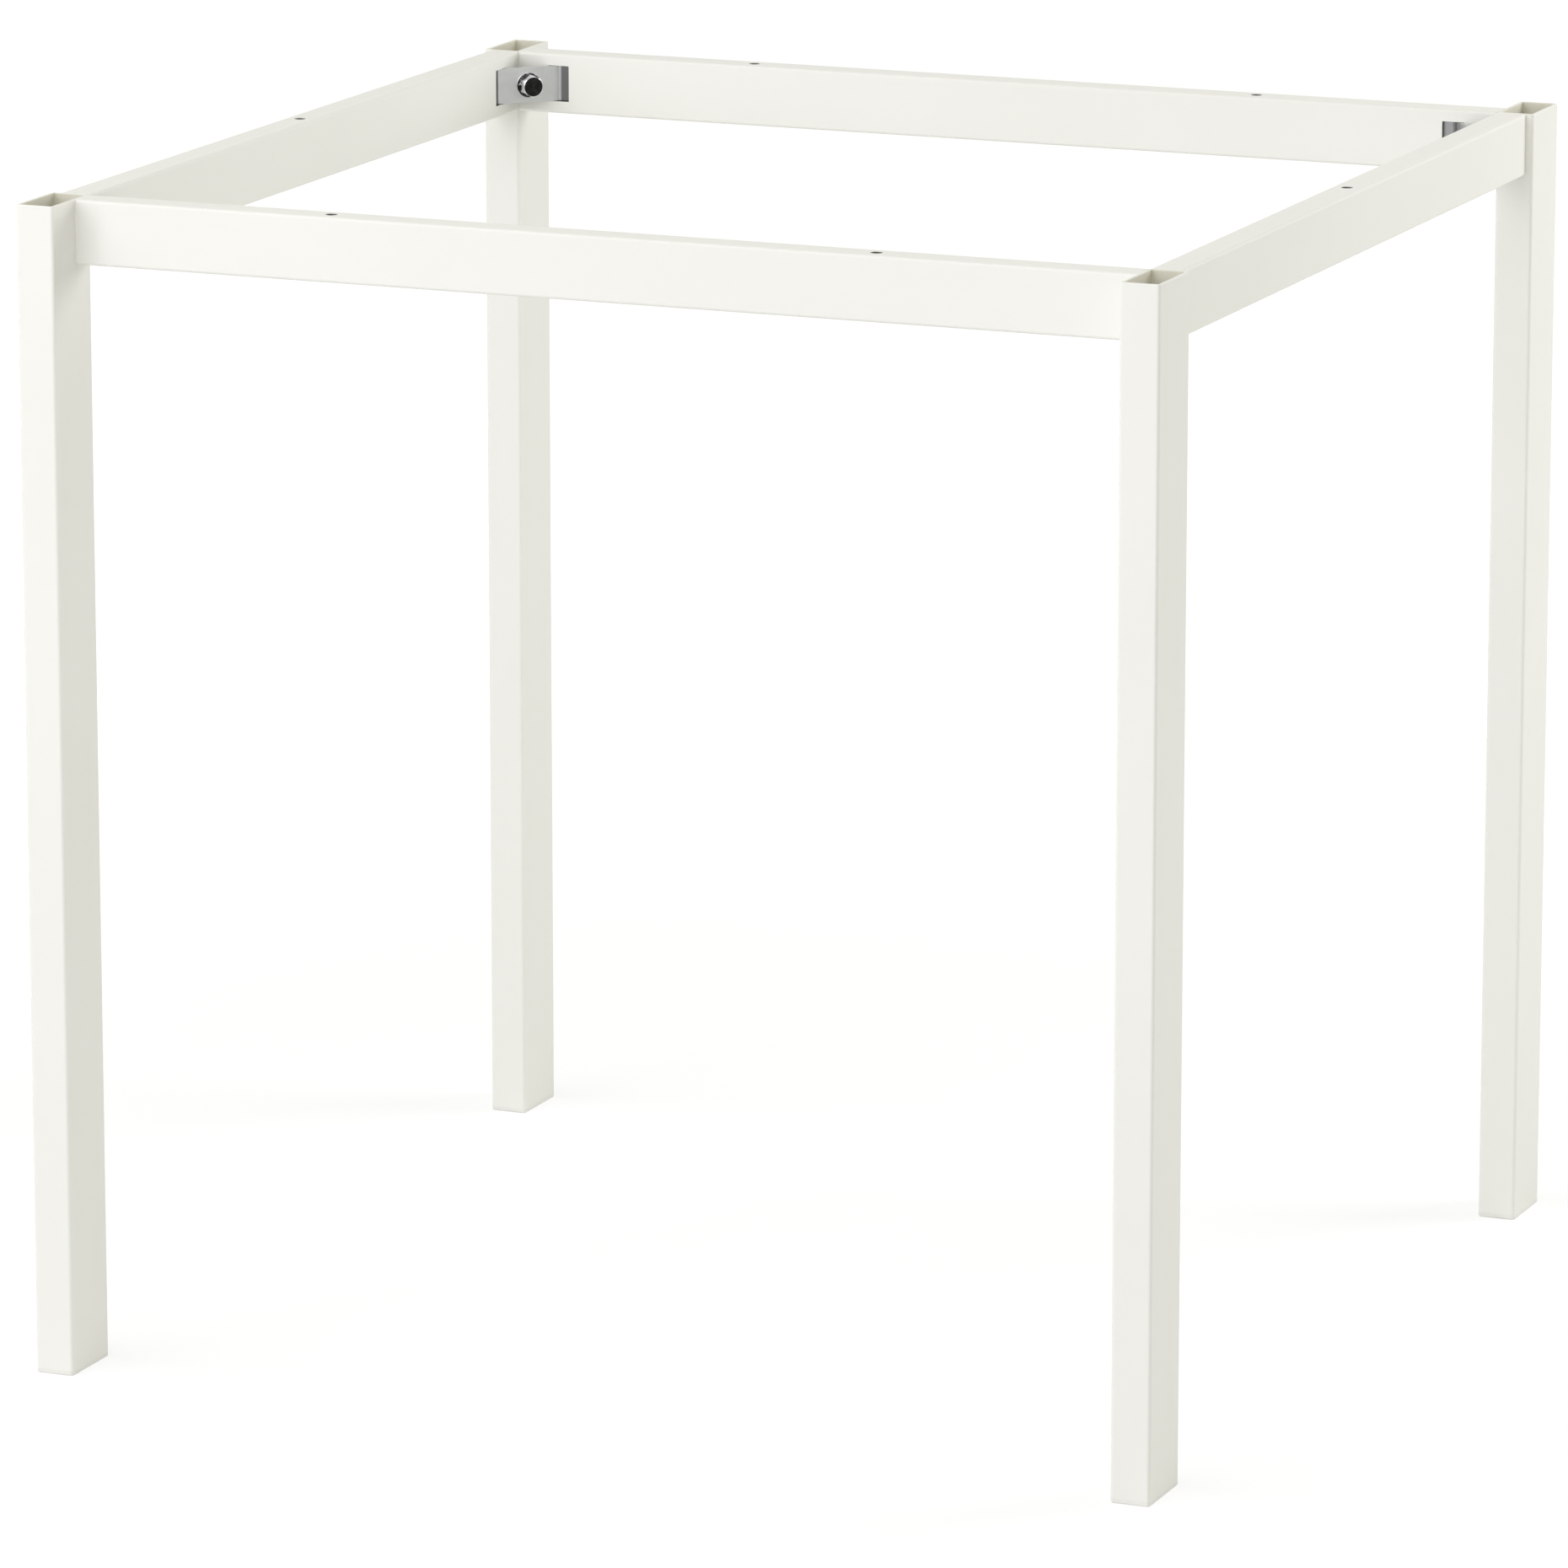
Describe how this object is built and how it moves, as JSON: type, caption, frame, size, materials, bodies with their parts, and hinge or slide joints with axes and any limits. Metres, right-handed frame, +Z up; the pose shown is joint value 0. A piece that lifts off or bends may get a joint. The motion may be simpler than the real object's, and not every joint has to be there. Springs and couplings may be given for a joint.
{
  "type": "table frame",
  "caption": "Square table underframe of rectangular steel tube legs and rails, with bolted corner brackets inside and screw holes in the rails for a table top.",
  "frame": {"origin": "on the floor, under the middle of the frame", "axes": "+X along the width, +Y along the depth from the front to the back, +Z up"},
  "size_m": [0.735, 0.735, 0.732],
  "materials": {
    "white_coated_tube": "slightly warm white powder coat, satin, with a fine even texture",
    "zinc_plated_strip": "zinc plated, satin grey",
    "plain_steel_block": "plain machined steel",
    "white_plastic_foot": "moulded plastic, matt white",
    "bright_plated_bolt": "bright plated"
  },
  "bodies": {
    "root": {"leg_front_left": "white_coated_tube", "leg_front_right": "white_coated_tube", "leg_back_right": "white_coated_tube", "leg_back_left": "white_coated_tube", "rail_front": "white_coated_tube", "rail_back": "white_coated_tube", "rail_left": "white_coated_tube", "rail_right": "white_coated_tube", "corner_bracket_front_left": "zinc_plated_strip", "corner_bracket_front_right": "zinc_plated_strip", "corner_bracket_back_right": "zinc_plated_strip", "corner_bracket_back_left": "zinc_plated_strip", "nut_block_front_left": "plain_steel_block", "nut_block_front_right": "plain_steel_block", "nut_block_back_right": "plain_steel_block", "nut_block_back_left": "plain_steel_block", "foot_plug_front_left": "white_plastic_foot", "foot_plug_front_right": "white_plastic_foot", "foot_plug_back_right": "white_plastic_foot", "foot_plug_back_left": "white_plastic_foot", "corner_bolts": "bright_plated_bolt"}
  },
  "joints": []
}
